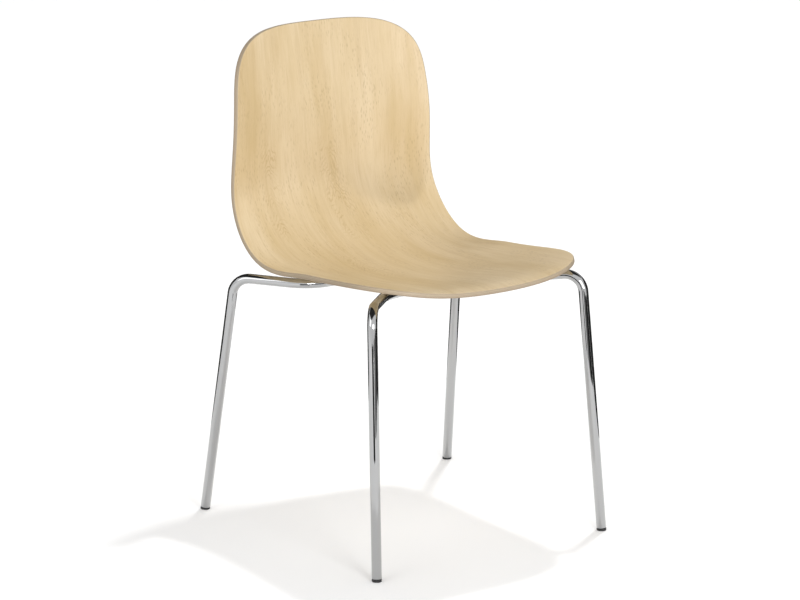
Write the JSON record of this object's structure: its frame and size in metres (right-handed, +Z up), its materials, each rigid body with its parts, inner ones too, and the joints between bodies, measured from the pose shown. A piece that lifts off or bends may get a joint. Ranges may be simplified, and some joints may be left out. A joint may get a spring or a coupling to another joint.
{
  "type": "stacking chair",
  "caption": "Stacking side chair: one bent plywood shell for seat and back on two bent chrome tubes with splayed legs and black glides.",
  "frame": {"origin": "on the floor, at the middle of the chair's bounding box", "axes": "+X across the seat, the sitter's left hand side is +X; +Y from the front edge towards the back; +Z up"},
  "size_m": [0.514, 0.528, 0.7958],
  "materials": {
    "birch_veneer": "pale birch face veneer, clear satin lacquer, grain running from the seat's front edge up the back",
    "chrome_tube": "bright chrome plate on bent steel tube, fine handling scratches",
    "plate_steel": "sheet steel, satin plated",
    "zinc_fixing": "zinc-plated fasteners",
    "black_plastic": "black moulded nylon, slightly scuffed"
  },
  "bodies": {
    "root": {"seat_shell": "birch_veneer", "front_leg_tube": "chrome_tube", "rear_leg_tube": "chrome_tube", "mounting_plate": "plate_steel", "seat_spacer_front_left": "black_plastic", "screw_washer_front_left": "zinc_fixing", "seat_screw_front_left": "zinc_fixing", "threaded_insert_front_left": "zinc_fixing", "foot_glide_front_left": "black_plastic", "seat_spacer_front_right": "black_plastic", "screw_washer_front_right": "zinc_fixing", "seat_screw_front_right": "zinc_fixing", "threaded_insert_front_right": "zinc_fixing", "foot_glide_front_right": "black_plastic", "seat_spacer_rear_left": "black_plastic", "screw_washer_rear_left": "zinc_fixing", "seat_screw_rear_left": "zinc_fixing", "threaded_insert_rear_left": "zinc_fixing", "foot_glide_rear_left": "black_plastic", "seat_spacer_rear_right": "black_plastic", "screw_washer_rear_right": "zinc_fixing", "seat_screw_rear_right": "zinc_fixing", "threaded_insert_rear_right": "zinc_fixing", "foot_glide_rear_right": "black_plastic"}
  },
  "joints": []
}
